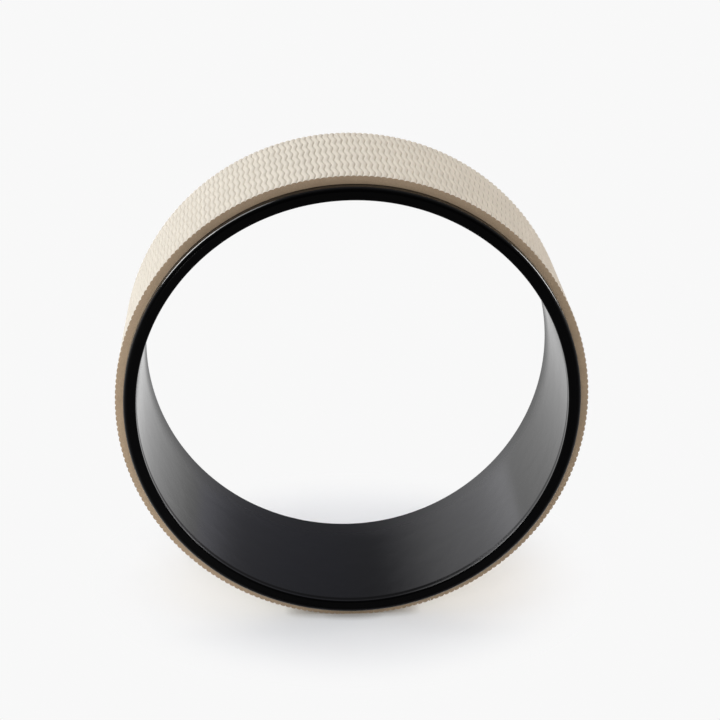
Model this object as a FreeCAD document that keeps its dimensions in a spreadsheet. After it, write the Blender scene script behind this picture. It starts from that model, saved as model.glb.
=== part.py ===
"""Yoga wheel: a rigid plastic hoop with a ribbed two-tone foam strip glued round it.

The wheel stands on its tread. The origin is the wheel's centre, its axle line is Y, +Z is up and
-Y is the front. Lengths are in millimetres and angles in degrees, counted from +X towards +Z.
"""
import FreeCAD, Part
import math
import os
import Sketcher

from FreeCAD import Vector

# Driving dimensions: name, value and what it measures
SIZES = (
    ("bore_radius", 150.0, "inside radius of the hoop"),
    ("hoop_wall", 9.0, "thickness of the hoop"),
    ("hoop_width", 130.0, "width of the hoop along the axle line"),
    ("rim_chamfer", 2.0, "chamfer on the four rim edges"),
    ("film_thickness", 0.2, "double-sided adhesive film under the foam"),
    ("film_setback", 1.0, "film kept back from each edge of the pad"),
    ("pad_width", 112.0, "width of the foam strip and its skin"),
    ("foam_thickness", 5.4, "foam from the film to its rib crests"),
    ("skin_thickness", 0.4, "embossed skin over the foam"),
    ("rib_pitch", 4.07, "nearest distance from rib to rib round the tread"),
    ("rib_depth", 0.8, "from a rib's crest to the groove beside it"),
    ("rib_crest", 1.6, "width of a rib's crest between its two flanks"),
    ("seam_angle", 290.0, "place of the strip's butt seam"),
    ("seam_gap", 0.4, "open gap at the butt seam"),
    ("contact_flat", 0.5, "depth to which the ribs are pressed flat where the wheel stands"),
)

AXLE = Vector(0, 1, 0)

doc = FreeCAD.newDocument("yoga_wheel")


def sizes_sheet():
    """Spreadsheet that holds the driving dimensions, one aliased cell each."""
    table = doc.addObject("Spreadsheet::Sheet", "Sizes")
    for row, (name, value, meaning) in enumerate(SIZES, start=1):
        table.set(f"A{row}", name)
        table.set(f"B{row}", str(value))
        table.set(f"C{row}", meaning)
        table.setAlias(f"B{row}", name)
    doc.recompute()
    return table


sheet = sizes_sheet()


def size(name):
    """A driving dimension, as the spreadsheet has it."""
    return float(sheet.get(name))


def hoop_radius():
    """Outside of the hoop, where the film is stuck on."""
    return size("bore_radius") + size("hoop_wall")


def foam_seat_radius():
    """Outside of the film, where the foam lies."""
    return hoop_radius() + size("film_thickness")


def foam_crest_radius():
    """Rib crests of the foam, under the skin."""
    return foam_seat_radius() + size("foam_thickness")


def tread_radius():
    """Rib crests of the finished tread."""
    return foam_crest_radius() + size("skin_thickness")


def on_wheel(radius, angle):
    """Point in the wheel's middle plane."""
    return Vector(radius * math.cos(math.radians(angle)), 0, radius * math.sin(math.radians(angle)))


def origin_plane(body, role):
    """One of a body's own origin planes."""
    return next(feature for feature in body.Origin.OriginFeatures if feature.Role == role)


def rim_circles(feature):
    """Names of a turned feature's round edges."""
    edges = enumerate(feature.Shape.Edges, start=1)
    return [f"Edge{number}" for number, edge in edges if isinstance(edge.Curve, Part.Circle)]


def hoop_section(body):
    """Rectangle of the hoop's wall, beside the axle line in the XY plane."""
    sketch = body.newObject("Sketcher::SketchObject", "hoop_section")
    sketch.AttachmentSupport = (origin_plane(body, "XY_Plane"), [""])
    sketch.MapMode = "FlatFace"
    half = size("hoop_width") / 2
    corners = [
        Vector(size("bore_radius"), -half, 0),
        Vector(hoop_radius(), -half, 0),
        Vector(hoop_radius(), half, 0),
        Vector(size("bore_radius"), half, 0),
    ]
    for start, end in zip(corners, corners[1:] + corners[:1]):
        sketch.addGeometry(Part.LineSegment(start, end), False)
    front, outside, back, inside = range(4)
    first, second, x_axis, root = 1, 2, -1, 1
    for line, after in ((front, outside), (outside, back), (back, inside), (inside, front)):
        sketch.addConstraint(Sketcher.Constraint("Coincident", line, second, after, first))
    for line in (front, back):
        sketch.addConstraint(Sketcher.Constraint("Horizontal", line))
    sketch.addConstraint(Sketcher.Constraint("Vertical", inside))
    sketch.addConstraint(Sketcher.Constraint("Symmetric", outside, first, outside, second, x_axis))
    dimensions = (
        ("bore_radius", Sketcher.Constraint("DistanceX", x_axis, root, front, first, size("bore_radius"))),
        ("hoop_wall", Sketcher.Constraint("DistanceX", front, first, front, second, size("hoop_wall"))),
        ("hoop_width", Sketcher.Constraint("DistanceY", outside, first, outside, second, size("hoop_width"))),
    )
    for name, constraint in dimensions:
        number = sketch.addConstraint(constraint)
        sketch.renameConstraint(number, name)
        sketch.setExpression(f"Constraints.{name}", f"Sizes.{name}")
    return sketch


def core_hoop():
    """Rigid plastic hoop: a turned wall with chamfered rims."""
    body = doc.addObject("PartDesign::Body", "core_hoop")
    sketch = hoop_section(body)
    turned = body.newObject("PartDesign::Revolution", "hoop_wall_turned")
    turned.Profile = sketch
    turned.ReferenceAxis = (sketch, ["V_Axis"])
    turned.Angle = 360
    doc.recompute()
    chamfer = body.newObject("PartDesign::Chamfer", "rim_chamfers")
    chamfer.Base = (turned, rim_circles(turned))
    chamfer.setExpression("Size", "Sizes.rim_chamfer")
    body.Tip = chamfer
    doc.recompute()
    return body


def seam_turn():
    """Angle that the open butt seam takes up."""
    return math.degrees(size("seam_gap") / tread_radius())


def strip_turn():
    """Angle from one end of the strip to the other, round the wheel."""
    return 360 - seam_turn()


def strip_start():
    """Angle where the strip begins, just past the seam."""
    return size("seam_angle") + seam_turn() / 2


def round_line(radius):
    """Smooth face of a layer, from the strip's start to its end."""
    stops = [strip_start() + share * strip_turn() for share in (0, 0.5, 1)]
    return [Part.Arc(*(on_wheel(radius, stop) for stop in stops)).toShape()]


def rib_line(crest_radius):
    """Ribs from the strip's start to its end: groove, flank, flat crest, flank, groove and so on."""
    rib_count = round(2 * math.pi * tread_radius() / size("rib_pitch"))
    rib_turn = strip_turn() / rib_count
    half_crest = math.degrees(size("rib_crest") / 2 / tread_radius())
    groove_radius = crest_radius - size("rib_depth")
    points = [on_wheel(groove_radius, strip_start())]
    for rib in range(rib_count):
        middle = strip_start() + (rib + 0.5) * rib_turn
        points.append(on_wheel(crest_radius, middle - half_crest))
        points.append(on_wheel(crest_radius, middle + half_crest))
        points.append(on_wheel(groove_radius, middle + rib_turn / 2))
    floor = size("contact_flat") - crest_radius
    return Part.makePolygon(pressed_flat(points, floor)).Edges


def pressed_flat(points, floor):
    """The line with what lies below the floor cut off, as the wheel's weight presses it."""
    pressed = [point for point in points[:1] if point.z >= floor]
    for before, after in zip(points, points[1:]):
        if (before.z < floor) != (after.z < floor):
            share = (floor - before.z) / (after.z - before.z)
            pressed.append(before + (after - before) * share)
        if after.z >= floor:
            pressed.append(after)
    return pressed


def strip(name, outside, inside, width):
    """One layer of the strip round the hoop: its section between two lines, drawn out to its width."""
    ends = [
        Part.makeLine(outside[0].firstVertex(True).Point, inside[0].firstVertex(True).Point),
        Part.makeLine(outside[-1].lastVertex(True).Point, inside[-1].lastVertex(True).Point),
    ]
    section = doc.addObject("Part::Feature", f"{name}_section")
    section.Shape = Part.Face(Part.Wire(outside + ends[1:] + inside[::-1] + ends[:1]))
    layer = doc.addObject("Part::Extrusion", name)
    layer.Base = section
    layer.DirMode = "Custom"
    layer.Dir = AXLE
    layer.Symmetric = True
    layer.Solid = True
    layer.setExpression("LengthFwd", width)
    doc.recompute()
    return layer


def check_document():
    """Stops if any object of the document failed."""
    failed = [item.Name for item in doc.Objects if {"Invalid", "Error"} & set(item.State)]
    if failed:
        raise RuntimeError(f"failed objects: {failed}")


def export(pieces):
    """Checks each piece and writes it to a file of its own."""
    for piece in pieces:
        if piece.Shape.isNull() or not piece.Shape.isValid() or len(piece.Shape.Solids) != 1:
            raise RuntimeError(f"{piece.Label}: not one sound solid")
    os.makedirs("parts", exist_ok=True)
    for piece in pieces:
        piece.Shape.exportStep(f"parts/{piece.Label}.step")
        print(f"{piece.Label}: {piece.Shape.Volume / 1000:.1f} cm3")


film_width = "Sizes.pad_width - 2 * Sizes.film_setback"
pad_width = "Sizes.pad_width"
foam_ribs = rib_line(foam_crest_radius())
pieces = [
    core_hoop(),
    strip("adhesive_film", round_line(foam_seat_radius()), round_line(hoop_radius()), film_width),
    strip("foam_base", foam_ribs, round_line(foam_seat_radius()), pad_width),
    strip("tread_skin", rib_line(tread_radius()), foam_ribs, pad_width),
]
check_document()
export(pieces)
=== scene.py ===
"""Looks of the yoga wheel: satin black hoop, taupe foam strip and wavy-ribbed cream skin, in a pale studio.

Lengths are in metres. The origin is the wheel's centre, its axle line is Y, +Z is up and -Y is the front.
"""
import math
import bmesh
import bpy
from mathutils import Matrix, Vector


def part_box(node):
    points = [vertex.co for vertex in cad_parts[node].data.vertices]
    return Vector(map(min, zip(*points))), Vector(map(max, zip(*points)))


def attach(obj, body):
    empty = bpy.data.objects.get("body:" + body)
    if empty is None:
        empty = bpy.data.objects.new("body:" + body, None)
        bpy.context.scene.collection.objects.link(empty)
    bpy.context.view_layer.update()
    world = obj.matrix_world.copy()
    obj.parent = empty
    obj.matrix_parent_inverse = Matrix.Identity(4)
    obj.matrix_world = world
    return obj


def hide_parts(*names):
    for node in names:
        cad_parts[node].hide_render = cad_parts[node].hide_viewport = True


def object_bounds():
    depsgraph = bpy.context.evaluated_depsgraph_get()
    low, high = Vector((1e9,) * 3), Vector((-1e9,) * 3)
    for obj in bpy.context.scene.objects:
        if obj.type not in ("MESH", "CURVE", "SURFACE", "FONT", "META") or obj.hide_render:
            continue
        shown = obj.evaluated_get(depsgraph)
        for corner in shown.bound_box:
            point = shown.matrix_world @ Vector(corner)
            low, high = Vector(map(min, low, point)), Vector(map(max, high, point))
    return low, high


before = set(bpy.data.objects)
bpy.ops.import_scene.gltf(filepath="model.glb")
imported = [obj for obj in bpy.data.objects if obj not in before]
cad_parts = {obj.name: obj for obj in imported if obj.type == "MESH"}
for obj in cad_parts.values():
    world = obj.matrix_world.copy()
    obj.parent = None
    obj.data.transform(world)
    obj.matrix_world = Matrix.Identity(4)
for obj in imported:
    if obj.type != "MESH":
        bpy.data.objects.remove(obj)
cad_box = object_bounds()

MM = 0.001
NEAR = 0.01 * MM
CUT_TOLERANCE = 1e-7

# The hoop, with a stepped mouth at its front and duller gloss towards its back edge
HOOP_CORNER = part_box("core_hoop")[1]
HOOP_RADIUS = HOOP_CORNER.x
HOOP_HALF_WIDTH = HOOP_CORNER.y
BORE_RADIUS = 150 * MM
RIM_CHAMFER = 2 * MM
OUTER_ROUNDING = 1.2 * MM
MOUTH_CHAMFER = 0.8 * MM
MOUTH_LAND = 2.0 * MM
LEAD_IN = 4.4 * MM
LEAD_IN_RISE = 0.4 * MM
BORE_ROUNDING = 0.4 * MM
ROUNDING_STEPS = 4
TURN_STEPS = 256
CRISP_ANGLE = math.radians(50)
SCUFF_START = 25 * MM
SCUFF_ROUGHNESS = 0.22

# The strip: ribs across the tread that sway from side to side and lean a little
TREAD_RADIUS = 165 * MM
PAD_SEAT = 159.2 * MM
PAD_WIDTH = 112 * MM
SKIN = 0.4 * MM
SKIN_PLAY = 0.02 * MM
RIB_COUNT = 255
RIB_DEPTH = 0.85 * MM
RIB_ROUNDNESS = 3.0
RIB_COLUMNS = 6
COLUMN_DRAW = 0.5
SPARE_RIBS = 2
RIB_START = -0.2 * MM
SWAY = 0.76 * MM
SWAY_LENGTH = 21.1 * MM
SWAY_CENTRE = -3.3 * MM
LEAN = 0.0385
SEAM_ANGLE = math.radians(290)
SEAM_GAP = 0.4 * MM
SEAM_ROUNDING = 0.7 * MM
SEAM_STEPS = 3
SEAM_TURN = SEAM_GAP / TREAD_RADIUS
STRIP_LENGTH = (2 * math.pi - SEAM_TURN) * TREAD_RADIUS
RIB_PITCH = STRIP_LENGTH / RIB_COUNT
SKIN_ROWS = 44
FOAM_ROWS = 22

# Colours of the pieces, each from its darkest to its palest patch
BLACK = (0.0007, 0.0007, 0.0008), (0.0013, 0.0013, 0.0014)
BLACK_GLOSS = (0.08, 0.08, 0.08, 1)
TAUPE = (0.33, 0.246, 0.164), (0.37, 0.276, 0.186)
CREAM = (0.6, 0.542, 0.452), (0.64, 0.579, 0.485)
MILKY = (0.66, 0.62, 0.53), (0.75, 0.72, 0.63)

# Grooves of the skin: painted shade in them, faint on the left and deep on the right
GROOVE_SHADE_LEFT = (0.62, 0.56, 0.468)
GROOVE_SHADE_RIGHT = (0.35, 0.3, 0.237)
GROOVE_SHADE_REACH = 105 * MM
GROOVE_SPAN = (0.45, 1.0)

# The floor: painted contact shade under the wheel, warm like bounced light; its soft shadow in an oval,
# plain white outside it, and a painted glow in reflections, brighter at the left
FLOOR = cad_box[0].z
FLOOR_HALF = 12
# Painted shade: close to the wheel the floor's colour darkens to this warm tone, by an occlusion node
FLOOR_PAINTED_SHADE = (0.38, 0.345, 0.305)
FLOOR_OPEN = (0.89, 0.885, 0.88)
CONTACT_REACH = 7 * MM
SHADOW_REACH = Vector((185, 170)) * MM
SHADOW_SHIFT = -0.08
SHADOW_SPAN = (0.6, 1.05)
WHITE_LEVEL = 0.94
# Painted reflection: to glossy rays the floor off the shadow glows brighter at the left than at the right
MIRRORED_SPAN = (-0.4, 0.6)
MIRRORED_LEFT, MIRRORED_RIGHT = 1.08, 0.66

# The room: brightness, where 1 is white, and the stretch of each direction's X, Y or Z that it changes over
SIDE_LEVEL = 0.77
BACK_LEVEL, BACK_SPAN = 0.31, (0.3, 0.8)
FRONT_LEVEL, FRONT_SPAN = 0.1, (-0.3, -0.85)
HORIZON_LEVEL, HORIZON_SPAN = 0.33, (0.0, 0.22)
GLOW_LEVEL, GLOW_SPAN = 1.0, (0.85, 1.0)
GLOW_DIRECTION = Vector((-0.46, 0.88, 0.09))
WARM_TINT, WARM_SPAN = (1.02, 0.99, 0.95), (0.9, 0.3)
PLAIN_TINT = (0.985, 0.985, 1.02)
COOL_TINT, COOL_BACK_SPAN, COOL_SIDE_SPAN = (0.97, 0.98, 1.14), (0.6, 0.85), (-0.25, 0.1)

# The camera, fitted to the photograph
LENS_MM = 100.975
SENSOR_MM = 36
CAMERA_TURN, CAMERA_RISE = math.radians(-2.5205), math.radians(21.1557)
CAMERA_PLACE = (-0.05215, -1.35605, 0.53643)

# Sockets of a Mix node, which share their names: for values and for colours
MIX_FACTOR = 0
VALUE_LOW, VALUE_HIGH, VALUE_RESULT = 2, 3, 0
COLOUR_LOW, COLOUR_HIGH, COLOUR_RESULT = 6, 7, 2


def finished(name, shape, slot, *materials):
    """Makes a named object of the shape, at the origin, riding on the wheel."""
    bmesh.ops.recalc_face_normals(shape, faces=shape.faces)
    for face in shape.faces:
        face.smooth = True
    mesh = bpy.data.meshes.new(name)
    shape.to_mesh(mesh)
    shape.free()
    mesh.set_sharp_from_angle(angle=CRISP_ANGLE)
    for material in materials:
        mesh.materials.append(material)
    piece = bpy.data.objects.new(name, mesh)
    bpy.context.scene.collection.objects.link(piece)
    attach(piece, "root")
    return piece


def rounded(shape, edges, radius, steps):
    """Rounds some edges of a shape."""
    bmesh.ops.bevel(shape, geom=edges, offset=radius, offset_type="OFFSET", segments=steps, profile=0.5,
                    affect="EDGES", clamp_overlap=True, material=-1)


def ring_edges(shape, radius):
    """Edges that run round the wheel at one radius."""
    def on_ring(edge):
        first, second = (end.co for end in edge.verts)
        at_radius = all(abs(math.hypot(end.x, end.z) - radius) < NEAR for end in (first, second))
        return at_radius and abs(first.y - second.y) < NEAR
    return [edge for edge in shape.edges if on_ring(edge)]


def soften(shape, radii, rounding):
    """Rounds the edges that run round the wheel at these radii."""
    edges = [edge for radius in radii for edge in ring_edges(shape, radius)]
    rounded(shape, edges, rounding, ROUNDING_STEPS)


def hoop(material):
    """Moulded hoop: its wall turned about the axle line, with softened chamfers and a stepped mouth."""
    turned = bmesh.new()
    rim = HOOP_HALF_WIDTH
    shoulder = rim - RIM_CHAMFER
    mouth = rim - MOUTH_CHAMFER
    wall_radius = BORE_RADIUS - LEAD_IN_RISE
    section = [
        (wall_radius, LEAD_IN - mouth), (BORE_RADIUS, MOUTH_LAND - mouth),
        (BORE_RADIUS, -mouth), (BORE_RADIUS + MOUTH_CHAMFER, -rim),
        (HOOP_RADIUS - RIM_CHAMFER, -rim), (HOOP_RADIUS, -shoulder),
        (HOOP_RADIUS, shoulder), (HOOP_RADIUS - RIM_CHAMFER, rim),
        (wall_radius + RIM_CHAMFER, rim), (wall_radius, shoulder),
    ]
    corners = [turned.verts.new((radius, across, 0)) for radius, across in section]
    sides = [turned.edges.new(ends) for ends in zip(corners, corners[1:] + corners[:1])]
    bmesh.ops.spin(turned, geom=corners + sides, cent=(0, 0, 0), axis=(0, 1, 0), angle=2 * math.pi,
                   steps=TURN_STEPS, use_merge=True)
    soften(turned, (HOOP_RADIUS, HOOP_RADIUS - RIM_CHAMFER), OUTER_ROUNDING)
    soften(turned, (wall_radius, BORE_RADIUS, BORE_RADIUS + MOUTH_CHAMFER), BORE_ROUNDING)
    piece = finished("hoop", turned, "hoop_plastic", material)
    flat_walls = piece.modifiers.new("flat_walls", "WEIGHTED_NORMAL")
    flat_walls.keep_sharp = True
    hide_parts("core_hoop")


def sway(across):
    """How far a rib is carried along the strip at a place across the tread."""
    wave = math.cos(2 * math.pi * (across - SWAY_CENTRE) / SWAY_LENGTH)
    return RIB_START + LEAN * across - SWAY * wave


def embossed_sheet(rows, crest):
    """Flat sheet pressed with the ribs and cut to the strip's length: x along it, y across it, z up."""
    sheet = bmesh.new()
    ribs = RIB_COUNT + 2 * SPARE_RIBS
    bmesh.ops.create_grid(sheet, x_segments=ribs * RIB_COLUMNS, y_segments=rows, size=0.5)
    groove = sheet.verts.layers.float.new("groove")
    for point in sheet.verts:
        place = (point.co.x + 0.5) * ribs - SPARE_RIBS
        rib = math.floor(place)
        share = place - rib
        share -= COLUMN_DRAW * math.sin(2 * math.pi * share) / (2 * math.pi)
        across = point.co.y * PAD_WIDTH
        point[groove] = abs(2 * share - 1) ** RIB_ROUNDNESS
        along = (rib + share) * RIB_PITCH + sway(across)
        point.co = (along, across, crest - RIB_DEPTH * point[groove])
    for end, outward in ((0, -1), (STRIP_LENGTH, 1)):
        everything = sheet.verts[:] + sheet.edges[:] + sheet.faces[:]
        bmesh.ops.bisect_plane(sheet, geom=everything, dist=CUT_TOLERANCE, plane_co=(end, 0, 0),
                               plane_no=(outward, 0, 0), clear_outer=True)
    return sheet


def at_side(point):
    """Whether a point of the flat strip lies on one of its two long sides."""
    return abs(abs(point.co.y) - PAD_WIDTH / 2) < NEAR


def at_end(point):
    """Whether a point of the flat strip lies on one of its two cut ends."""
    return min(abs(point.co.x), abs(point.co.x - STRIP_LENGTH)) < NEAR


def closed_below(sheet, underside):
    """Gives the sheet its sides and an underside, at a height worked out from the height above it."""
    grown = bmesh.ops.extrude_face_region(sheet, geom=sheet.faces[:])
    below = [part for part in grown["geom"] if isinstance(part, bmesh.types.BMVert)]
    for point in below:
        point.co.z = underside(point.co.z)
    return below


def rounded_ends(sheet):
    """Rounds the upright corners of the strip's two cut ends, which shows the seam as a small notch."""
    corners = [edge for edge in sheet.edges if all(at_side(end) and at_end(end) for end in edge.verts)]
    rounded(sheet, corners, SEAM_ROUNDING, SEAM_STEPS)


def wrapped(sheet):
    """Lays the flat strip round the hoop, from one side of the seam to the other."""
    for point in sheet.verts:
        angle = SEAM_ANGLE + SEAM_TURN / 2 + point.co.x / TREAD_RADIUS
        radius = PAD_SEAT + point.co.z
        point.co = (radius * math.cos(angle), point.co.y, radius * math.sin(angle))


def press_flat(points, floor):
    """Squeezes what would lie below the floor up to it."""
    for point in points:
        point.co.z = max(point.co.z, floor)


def ribbed_skin(skin_material, cut_material):
    """Cream skin: a thin embossed sheet with taupe cut edges."""
    sheet = embossed_sheet(SKIN_ROWS, TREAD_RADIUS - PAD_SEAT)
    above = sheet.verts[:]
    below = closed_below(sheet, lambda height: height - SKIN)
    for face in sheet.faces:
        if all(at_side(corner) for corner in face.verts):
            face.material_index = 1
    wrapped(sheet)
    press_flat(above, FLOOR)
    press_flat(below, FLOOR + SKIN)
    piece = finished("ribbed_skin", sheet, "skin", skin_material, cut_material)
    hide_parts("tread_skin")


def foam_strip(material):
    """Taupe foam under the skin, with the ribs' scallops along both cut sides."""
    lap = SKIN + SKIN_PLAY
    sheet = embossed_sheet(FOAM_ROWS, TREAD_RADIUS - PAD_SEAT - lap)
    above = sheet.verts[:]
    closed_below(sheet, lambda height: 0)
    rounded_ends(sheet)
    wrapped(sheet)
    press_flat([point for point in above if point.is_valid], FLOOR + lap)
    piece = finished("foam_strip", sheet, "foam", material)
    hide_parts("foam_base")


def node(tree, kind, place, **values):
    """A shader node at a place on the sheet, with its settings or socket values."""
    made = tree.nodes.new(kind)
    made.location = (place[0] * 220, -place[1] * 180)
    for name, value in values.items():
        if hasattr(made, name):
            setattr(made, name, value)
        else:
            made.inputs[name.replace("_", " ")].default_value = value
    return made


def ramp(tree, place, value, span, low=0.0, high=1.0, smooth=True):
    """Value that runs from low to high while another one runs over a span."""
    made = node(tree, "ShaderNodeMapRange", place, interpolation_type="SMOOTHSTEP" if smooth else "LINEAR",
                From_Min=span[0], From_Max=span[1], To_Min=low, To_Max=high)
    tree.links.new(value, made.inputs["Value"])
    return made.outputs["Result"]


def value_between(tree, place, mask, low, high):
    """Value that runs evenly from low to high by a mask."""
    return ramp(tree, place, mask, (0.0, 1.0), low, high, smooth=False)


def colour_between(tree, place, mask, low, high):
    """Colour that runs from low to high by a mask; each is a colour or a socket that gives one."""
    mix = node(tree, "ShaderNodeMix", place, data_type="RGBA")
    tree.links.new(mask, mix.inputs[MIX_FACTOR])
    for number, colour in ((COLOUR_LOW, low), (COLOUR_HIGH, high)):
        if isinstance(colour, bpy.types.NodeSocket):
            tree.links.new(colour, mix.inputs[number])
        else:
            mix.inputs[number].default_value = (*colour, 1)
    return mix.outputs[COLOUR_RESULT]


def combined(tree, place, operation, first, second):
    """Two values put together by a sum, a product or the like."""
    made = node(tree, "ShaderNodeMath", place, operation=operation)
    tree.links.new(first, made.inputs[0])
    tree.links.new(second, made.inputs[1])
    return made.outputs[0]


def axes(tree, place, vector):
    """The X, Y and Z of a place or a direction."""
    made = node(tree, "ShaderNodeSeparateXYZ", place)
    tree.links.new(vector, made.inputs["Vector"])
    return made.outputs


def bump(tree, place, height, shader, depth, strength):
    """Bump on the normal among the shader's sockets, with a depth in metres."""
    relief = node(tree, "ShaderNodeBump", place, Strength=strength, Distance=depth)
    tree.links.new(height, relief.inputs["Height"])
    tree.links.new(relief.outputs["Normal"], shader["Normal"])


def group_tree(name, inputs, outputs):
    """An empty node group with its sockets, its input node and its output node."""
    tree = bpy.data.node_groups.new(name, "ShaderNodeTree")
    for socket, kind in inputs:
        tree.interface.new_socket(name=socket, in_out="INPUT", socket_type=kind)
    for socket, kind in outputs:
        tree.interface.new_socket(name=socket, in_out="OUTPUT", socket_type=kind)
    return tree, node(tree, "NodeGroupInput", (-4, 0)), node(tree, "NodeGroupOutput", (4, 0))


def fine_grain_group():
    """Grain of a moulded or embossed face: a height that mixes two sizes of pebble."""
    tree, given, made = group_tree(
        "fine_grain",
        (("Vector", "NodeSocketVector"), ("Scale", "NodeSocketFloat")),
        (("Height", "NodeSocketFloat"),))
    pebbles = node(tree, "ShaderNodeTexVoronoi", (-2, 0), feature="SMOOTH_F1", Smoothness=0.6)
    haze = node(tree, "ShaderNodeTexNoise", (-2, 2), Detail=4.0, Roughness=0.6)
    both = node(tree, "ShaderNodeMix", (1, 0), data_type="FLOAT", Factor=0.45)
    for texture in (pebbles, haze):
        tree.links.new(given.outputs["Vector"], texture.inputs["Vector"])
        tree.links.new(given.outputs["Scale"], texture.inputs["Scale"])
    tree.links.new(pebbles.outputs["Distance"], both.inputs[VALUE_LOW])
    tree.links.new(haze.outputs["Fac"], both.inputs[VALUE_HIGH])
    tree.links.new(both.outputs[VALUE_RESULT], made.inputs["Height"])
    return tree


def mottle_group():
    """Slow unevenness of a surface: a mask from 0 to 1 with cloudy patches and smaller flecks in them."""
    tree, given, made = group_tree(
        "mottle",
        (("Vector", "NodeSocketVector"), ("Scale", "NodeSocketFloat"), ("Stretch", "NodeSocketFloat")),
        (("Mask", "NodeSocketFloat"),))
    clouds = node(tree, "ShaderNodeTexNoise", (-2, 0), Detail=6.0, Roughness=0.62, Distortion=0.4)
    spread = node(tree, "ShaderNodeMapRange", (1, 0), interpolation_type="SMOOTHSTEP")
    tree.links.new(given.outputs["Vector"], clouds.inputs["Vector"])
    tree.links.new(given.outputs["Scale"], clouds.inputs["Scale"])
    tree.links.new(clouds.outputs["Fac"], spread.inputs["Value"])
    for row, operation, end in ((2, "SUBTRACT", "From Min"), (3, "ADD", "From Max")):
        edge = node(tree, "ShaderNodeMath", (-1, row), operation=operation)
        edge.inputs[0].default_value = 0.5
        tree.links.new(given.outputs["Stretch"], edge.inputs[1])
        tree.links.new(edge.outputs[0], spread.inputs[end])
    tree.links.new(spread.outputs["Result"], made.inputs["Mask"])
    return tree


def use_group(tree, group, place, vector, **values):
    """A node group placed in a material with its own values; gives what it puts out."""
    made = node(tree, "ShaderNodeGroup", place)
    made.node_tree = group
    tree.links.new(vector, made.inputs["Vector"])
    for socket, value in values.items():
        made.inputs[socket].default_value = value
    return made.outputs[0]


def new_material(name, **constants):
    """A material of one Principled shader, with its tree, the shader's sockets and Object coordinates."""
    material = bpy.data.materials.new(name)
    material.use_nodes = True
    tree = material.node_tree
    tree.nodes.clear()
    shader = node(tree, "ShaderNodeBsdfPrincipled", (5, 0))
    for socket, value in constants.items():
        shader.inputs[socket.replace("_", " ")].default_value = value
    output = node(tree, "ShaderNodeOutputMaterial", (7, 0))
    tree.links.new(shader.outputs["BSDF"], output.inputs["Surface"])
    place = node(tree, "ShaderNodeTexCoord", (-5, 0))
    return material, tree, shader.inputs, place.outputs["Object"]


def satin_black(mottle):
    """Black moulded plastic: satin, with faint orange peel and smears, duller towards its back edge."""
    material, tree, shader, place = new_material("satin_black_plastic", IOR=1.33, Specular_Tint=BLACK_GLOSS)
    smears = use_group(tree, mottle, (-2, 0), place, Scale=9.0, Stretch=0.22)
    tree.links.new(colour_between(tree, (1, 0), smears, *BLACK), shader["Base Color"])
    across = axes(tree, (-3, 2), place)["Y"]
    scuffed = ramp(tree, (-2, 2), across, (SCUFF_START, HOOP_HALF_WIDTH), high=SCUFF_ROUGHNESS)
    wiped = value_between(tree, (1, 1), smears, 0.11, 0.17)
    tree.links.new(combined(tree, (2, 1), "ADD", wiped, scuffed), shader["Roughness"])
    ripple = use_group(tree, mottle, (-2, 3), place, Scale=45.0, Stretch=0.5)
    bump(tree, (2, 3), ripple, shader, depth=0.1 * MM, strength=1.0)
    return material


def taupe_foam(fine_grain, mottle):
    """Matt taupe foam with small open cells where it was cut."""
    material, tree, shader, place = new_material("taupe_foam", IOR=1.35, Specular_IOR_Level=0.3)
    clouds = use_group(tree, mottle, (-2, 0), place, Scale=60.0, Stretch=0.3)
    shade = colour_between(tree, (0, 0), clouds, *TAUPE)
    cells = node(tree, "ShaderNodeTexVoronoi", (-2, 2), feature="F1", Scale=1800.0)
    tree.links.new(place, cells.inputs["Vector"])
    pits = value_between(tree, (0, 2), cells.outputs["Distance"], 0.78, 1.1)
    darkened = node(tree, "ShaderNodeMix", (2, 0), data_type="RGBA", blend_type="MULTIPLY")
    darkened.inputs[MIX_FACTOR].default_value = 1.0
    tree.links.new(shade, darkened.inputs[COLOUR_LOW])
    tree.links.new(pits, darkened.inputs[COLOUR_HIGH])
    tree.links.new(darkened.outputs[COLOUR_RESULT], shader["Base Color"])
    tree.links.new(value_between(tree, (1, 4), clouds, 0.82, 0.95), shader["Roughness"])
    grain = use_group(tree, fine_grain, (-2, 5), place, Scale=1500.0)
    bump(tree, (2, 5), grain, shader, depth=0.15 * MM, strength=0.6)
    return material


def cream_skin(fine_grain, mottle):
    """Matt cream skin with a fine pebble grain, and painted shade in its grooves that deepens towards the
    right.
    """
    material, tree, shader, place = new_material("cream_skin", IOR=1.45, Specular_IOR_Level=0.2)
    clouds = use_group(tree, mottle, (-3, 0), place, Scale=35.0, Stretch=0.3)
    crest = colour_between(tree, (-1, 0), clouds, *CREAM)
    # Painted shade in the grooves: the groove colour darkens from left to right across the wheel
    sideways = axes(tree, (-3, 5), place)["X"]
    shade_to_right = ramp(tree, (-2, 4), sideways, (-GROOVE_SHADE_REACH, GROOVE_SHADE_REACH), smooth=False)
    groove = colour_between(tree, (0, 3), shade_to_right, GROOVE_SHADE_LEFT, GROOVE_SHADE_RIGHT)
    ribs = node(tree, "ShaderNodeAttribute", (-3, 3), attribute_name="groove")
    depth = ramp(tree, (-1, 3), ribs.outputs["Fac"], GROOVE_SPAN)
    tree.links.new(colour_between(tree, (1, 0), depth, crest, groove), shader["Base Color"])
    tree.links.new(value_between(tree, (1, 4), clouds, 0.8, 0.92), shader["Roughness"])
    grain = use_group(tree, fine_grain, (-2, 6), place, Scale=2200.0)
    bump(tree, (2, 6), grain, shader, depth=0.06 * MM, strength=0.5)
    return material


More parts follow.
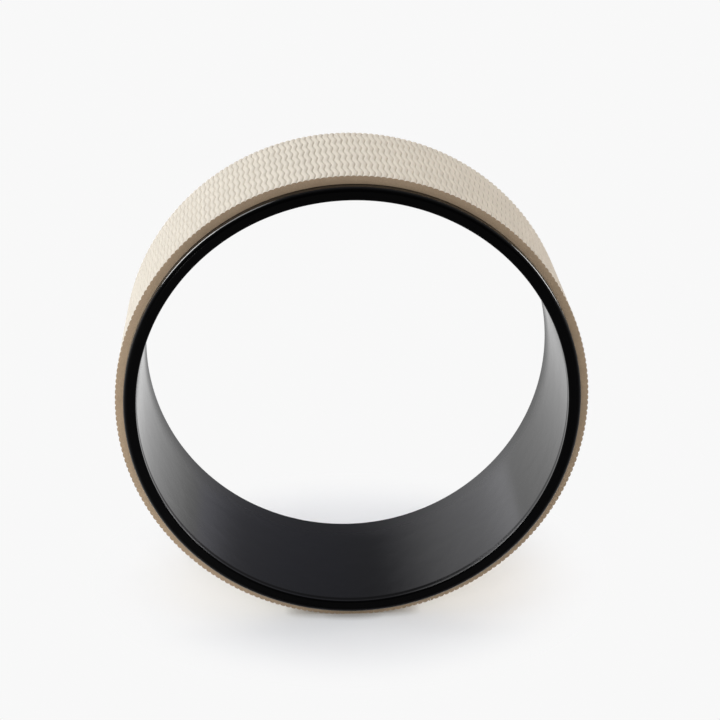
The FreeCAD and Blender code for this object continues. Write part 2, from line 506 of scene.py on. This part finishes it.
def tacky_film(fine_grain, mottle):
    """Adhesive film between foam and hoop: milky, with uneven gloss."""
    material, tree, shader, place = new_material("tacky_film", IOR=1.47)
    wetness = use_group(tree, mottle, (-2, 0), place, Scale=80.0, Stretch=0.25)
    tree.links.new(colour_between(tree, (1, 0), wetness, *MILKY), shader["Base Color"])
    tree.links.new(value_between(tree, (1, 1), wetness, 0.15, 0.4), shader["Roughness"])
    grain = use_group(tree, fine_grain, (-2, 3), place, Scale=900.0)
    bump(tree, (2, 3), grain, shader, depth=0.03 * MM, strength=0.4)
    return material


def oval_fade(tree, place):
    """Mask on the floor that is 0 in the oval of the shadow and 1 outside it."""
    across = node(tree, "ShaderNodeVectorMath", (-7, 3), operation="MULTIPLY_ADD")
    across.inputs[1].default_value = (1 / SHADOW_REACH.x, 1 / SHADOW_REACH.y, 0)
    across.inputs[2].default_value = (0, SHADOW_SHIFT, 0)
    away = node(tree, "ShaderNodeVectorMath", (-6, 3), operation="LENGTH")
    tree.links.new(place, across.inputs[0])
    tree.links.new(across.outputs["Vector"], away.inputs[0])
    return ramp(tree, (-5, 3), away.outputs["Value"], SHADOW_SPAN)


def white_floor():
    """White floor paint with painted shade, warm like bounced light, close to the wheel's contact; off the
    shadow it is seen as plain white, and mirrored as a painted glow that is brighter at the left.
    """
    material = bpy.data.materials.new("pale_floor")
    material.use_nodes = True
    tree = material.node_tree
    shader = tree.nodes["Principled BSDF"]
    shader.inputs["Roughness"].default_value = 0.9
    shader.inputs["Specular IOR Level"].default_value = 0.0
    # Painted contact shade: an occlusion node darkens and warms the floor's colour where the wheel is close
    open_sky = node(tree, "ShaderNodeAmbientOcclusion", (-4, -3), Distance=CONTACT_REACH).outputs["AO"]
    painted_contact_shade = colour_between(tree, (-2, -3), open_sky, FLOOR_PAINTED_SHADE, FLOOR_OPEN)
    tree.links.new(painted_contact_shade, shader.inputs["Base Color"])
    place = node(tree, "ShaderNodeTexCoord", (-8, 3)).outputs["Object"]
    path = node(tree, "ShaderNodeLightPath", (-6, 0)).outputs
    seen = combined(tree, (-5, 0), "MAXIMUM", path["Is Camera Ray"], path["Is Glossy Ray"])
    shown = combined(tree, (-4, 0), "MAXIMUM", seen, path["Is Transmission Ray"])
    share = combined(tree, (-3, 0), "MULTIPLY", shown, oval_fade(tree, place))
    # Painted reflection: glossy rays see the floor glow, brighter at the left and dimmer at the right
    sideways = axes(tree, (-7, 5), place)["X"]
    mirrored = ramp(tree, (-5, 5), sideways, MIRRORED_SPAN, MIRRORED_LEFT, MIRRORED_RIGHT)
    strength = node(tree, "ShaderNodeMix", (-3, 4), data_type="FLOAT")
    strength.inputs[VALUE_LOW].default_value = WHITE_LEVEL
    tree.links.new(path["Is Glossy Ray"], strength.inputs[MIX_FACTOR])
    tree.links.new(mirrored, strength.inputs[VALUE_HIGH])
    white = node(tree, "ShaderNodeEmission", (-1, 3), Color=(1, 1, 1, 1))
    tree.links.new(strength.outputs[VALUE_RESULT], white.inputs["Strength"])
    face = node(tree, "ShaderNodeMixShader", (2, 0))
    tree.links.new(share, face.inputs["Fac"])
    tree.links.new(shader.outputs["BSDF"], face.inputs[1])
    tree.links.new(white.outputs["Emission"], face.inputs[2])
    tree.links.new(face.outputs["Shader"], tree.nodes["Material Output"].inputs["Surface"])
    return material


def pale_floor(material):
    """Wide flat floor under the wheel."""
    plane = bmesh.new()
    bmesh.ops.create_grid(plane, x_segments=1, y_segments=1, size=FLOOR_HALF)
    bmesh.ops.translate(plane, verts=plane.verts, vec=(0, 0, FLOOR))
    mesh = bpy.data.meshes.new("floor")
    plane.to_mesh(mesh)
    plane.free()
    mesh.materials.append(material)
    floor = bpy.data.objects.new("floor", mesh)
    bpy.context.scene.collection.objects.link(floor)


def room_level(tree, place, x_y_z):
    """Brightness of the room: bright sides and ceiling, dim back and front, paler low down, and a glow."""
    towards_glow = node(tree, "ShaderNodeVectorMath", (-4, 3), operation="DOT_PRODUCT")
    towards_glow.inputs[1].default_value = GLOW_DIRECTION.normalized()
    tree.links.new(place, towards_glow.inputs[0])
    back = ramp(tree, (-2, 0), x_y_z["Y"], BACK_SPAN, SIDE_LEVEL, BACK_LEVEL)
    front = ramp(tree, (-2, 2), x_y_z["Y"], FRONT_SPAN, 0.0, FRONT_LEVEL - SIDE_LEVEL)
    low = ramp(tree, (-2, 5), x_y_z["Z"], HORIZON_SPAN, HORIZON_LEVEL, 0.0)
    glow = ramp(tree, (-2, 4), towards_glow.outputs["Value"], GLOW_SPAN, 0.0, GLOW_LEVEL)
    walls = combined(tree, (0, 0), "ADD", back, front)
    lower_walls = combined(tree, (1, 0), "ADD", walls, low)
    return combined(tree, (2, 0), "ADD", lower_walls, glow)


def room_tint(tree, x_y_z):
    """Colour of the room: warm at the right, cool behind the wheel and nearly plain elsewhere."""
    behind = ramp(tree, (-3, 7), x_y_z["Y"], COOL_BACK_SPAN, smooth=False)
    middle = ramp(tree, (-3, 8), x_y_z["X"], COOL_SIDE_SPAN, smooth=False)
    cool_share = combined(tree, (-2, 8), "MULTIPLY", behind, middle)
    cool = colour_between(tree, (-1, 7), cool_share, PLAIN_TINT, COOL_TINT)
    side = ramp(tree, (-2, 6), x_y_z["X"], WARM_SPAN, smooth=False)
    return colour_between(tree, (0, 4), side, WARM_TINT, cool)


def pale_studio():
    """Light of the room round the wheel, by direction."""
    world = bpy.data.worlds.new("pale_studio")
    bpy.context.scene.world = world
    world.use_nodes = True
    tree = world.node_tree
    tree.nodes.clear()
    place = node(tree, "ShaderNodeTexCoord", (-5, 0)).outputs["Generated"]
    x_y_z = axes(tree, (-4, 0), place)
    room = node(tree, "ShaderNodeBackground", (3, 0))
    output = node(tree, "ShaderNodeOutputWorld", (5, 0))
    tree.links.new(room_tint(tree, x_y_z), room.inputs["Color"])
    tree.links.new(room_level(tree, place, x_y_z), room.inputs["Strength"])
    tree.links.new(room.outputs["Background"], output.inputs["Surface"])


def hang(name, lamp, place, direction):
    """Puts a lamp at a place, shining in a direction."""
    holder = bpy.data.objects.new(name, lamp)
    holder.rotation_mode = "QUATERNION"
    holder.rotation_quaternion = direction.to_track_quat("-Z", "Y")
    holder.location = place
    bpy.context.scene.collection.objects.link(holder)
    return holder


def far_lamp(name, azimuth, elevation, strength, spread, colour=(1, 1, 1),
             diffuse=True, gloss=True, shadow=True):
    """Soft lamp a long way off; its azimuth runs from straight behind the wheel towards the right."""
    lamp = bpy.data.lights.new(name, "SUN")
    lamp.energy = strength
    lamp.color = colour
    lamp.angle = math.radians(spread)
    lamp.use_shadow = shadow
    turn, rise = math.radians(azimuth), math.radians(elevation)
    towards = Vector((math.sin(turn) * math.cos(rise), math.cos(turn) * math.cos(rise), math.sin(rise)))
    holder = hang(name, lamp, towards * 3, -towards)
    holder.visible_diffuse = diffuse
    holder.visible_glossy = gloss


def low_spot(name, place, aim, power, cone):
    """Small spot in front of the wheel at the height of its middle, aimed at one side of the pad."""
    lamp = bpy.data.lights.new(name, "SPOT")
    lamp.energy = power
    lamp.spot_size = math.radians(cone)
    lamp.spot_blend = 1.0
    lamp.shadow_soft_size = 0.02
    hang(name, lamp, place, Vector(aim) - Vector(place))


def photo_camera():
    """Camera at the photograph's viewing angle: a little to the left of the wheel's front and above it."""
    lens = bpy.data.cameras.new("photo_camera")
    lens.lens = LENS_MM
    lens.sensor_width = SENSOR_MM
    lens.clip_start, lens.clip_end = 0.05, 50
    camera = bpy.data.objects.new("photo_camera", lens)
    level = math.cos(CAMERA_RISE)
    right = Vector((math.cos(CAMERA_TURN), math.sin(CAMERA_TURN), 0))
    back = Vector((math.sin(CAMERA_TURN) * level, -math.cos(CAMERA_TURN) * level, math.sin(CAMERA_RISE)))
    up = back.cross(right)
    turned = Matrix((right, up, back)).transposed().to_4x4()
    camera.matrix_world = Matrix.Translation(CAMERA_PLACE) @ turned
    bpy.context.scene.collection.objects.link(camera)
    bpy.context.scene.camera = camera


fine_grain = fine_grain_group()
mottle = mottle_group()
foam = taupe_foam(fine_grain, mottle)
hoop(satin_black(mottle))
foam_strip(foam)
ribbed_skin(cream_skin(fine_grain, mottle), foam)
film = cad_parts["adhesive_film"]
film.data.materials.clear()
film.data.materials.append(tacky_film(fine_grain, mottle))

pale_floor(white_floor())
pale_studio()
far_lamp("left_softbox", azimuth=-50, elevation=26, strength=1.97, spread=26, colour=(0.945, 1, 1.045),
         gloss=False, shadow=False)
far_lamp("right_lamp", azimuth=70, elevation=7, strength=0.8, spread=16, colour=(1, 0.88, 0.8), gloss=False)
far_lamp("front_lamp", azimuth=-174, elevation=27, strength=1.1, spread=40, gloss=False)
low_spot("left_spot", place=(-0.35, -1.05, -0.02), aim=(-0.165, -0.056, -0.04), power=14, cone=22)
far_lamp("left_edge_light", azimuth=-56, elevation=25, strength=3.5, spread=24, diffuse=False)
far_lamp("upper_edge_light", azimuth=-51, elevation=44, strength=2.2, spread=24, diffuse=False)
far_lamp("right_edge_light", azimuth=56, elevation=12, strength=1.6, spread=20, diffuse=False)
photo_camera()
bpy.context.scene.view_settings.view_transform = "Standard"
